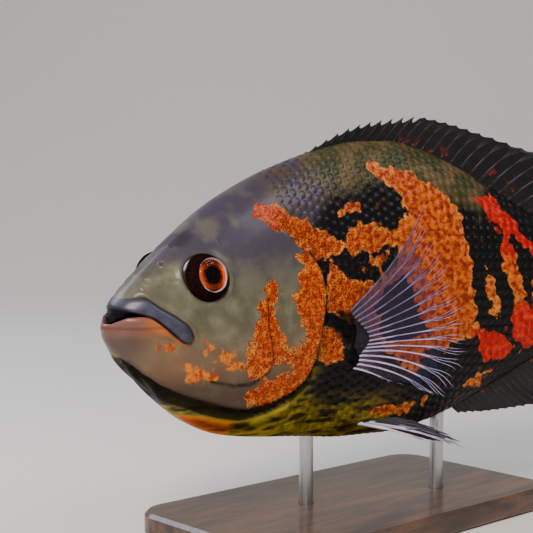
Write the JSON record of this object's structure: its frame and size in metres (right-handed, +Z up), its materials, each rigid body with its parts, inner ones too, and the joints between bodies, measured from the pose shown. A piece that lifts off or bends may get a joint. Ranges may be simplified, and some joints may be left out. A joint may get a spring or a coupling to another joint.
{
  "type": "oscar fish",
  "caption": "Life-size oscar fish with spread fins and a gently bent tail, held above a flat base by two short rods.",
  "frame": {"origin": "middle of the stand base's underside, on the surface that the base rests on", "axes": "+Z up, -X the way the fish heads, -Y the fish's left side, +X towards the tail"},
  "size_m": [0.2966, 0.1173, 0.1735],
  "materials": {
    "skin": "wet, smooth fish skin, olive grey with orange patches",
    "throat_skin": "wet, smooth fish skin, yellow olive",
    "scaled_skin": "wet, finely scaled fish skin, black with orange bands",
    "lip": "wet, fleshy lip, violet grey above and orange below",
    "fin": "thin wet membrane on violet rays",
    "eye": "clear domed cornea over an orange ring and a black pupil",
    "stand_wood": "dark walnut, satin lacquer",
    "stand_steel": "brushed"
  },
  "bodies": {
    "root": {"head": "skin", "lower_jaw": "skin", "upper_lip": "lip", "lower_lip": "lip", "gill_cover_left": "skin", "gill_cover_right": "skin", "eye_left": "eye", "eye_right": "eye", "throat": "throat_skin", "trunk": "scaled_skin", "tail_stem": "scaled_skin", "dorsal_fin": "fin", "anal_fin": "fin", "tail_fin": "fin", "pectoral_fin_left": "fin", "pectoral_fin_right": "fin", "pelvic_fin_left": "fin", "pelvic_fin_right": "fin", "stand_base": "stand_wood", "stand_rod_front": "stand_steel", "stand_rod_rear": "stand_steel"}
  },
  "joints": []
}
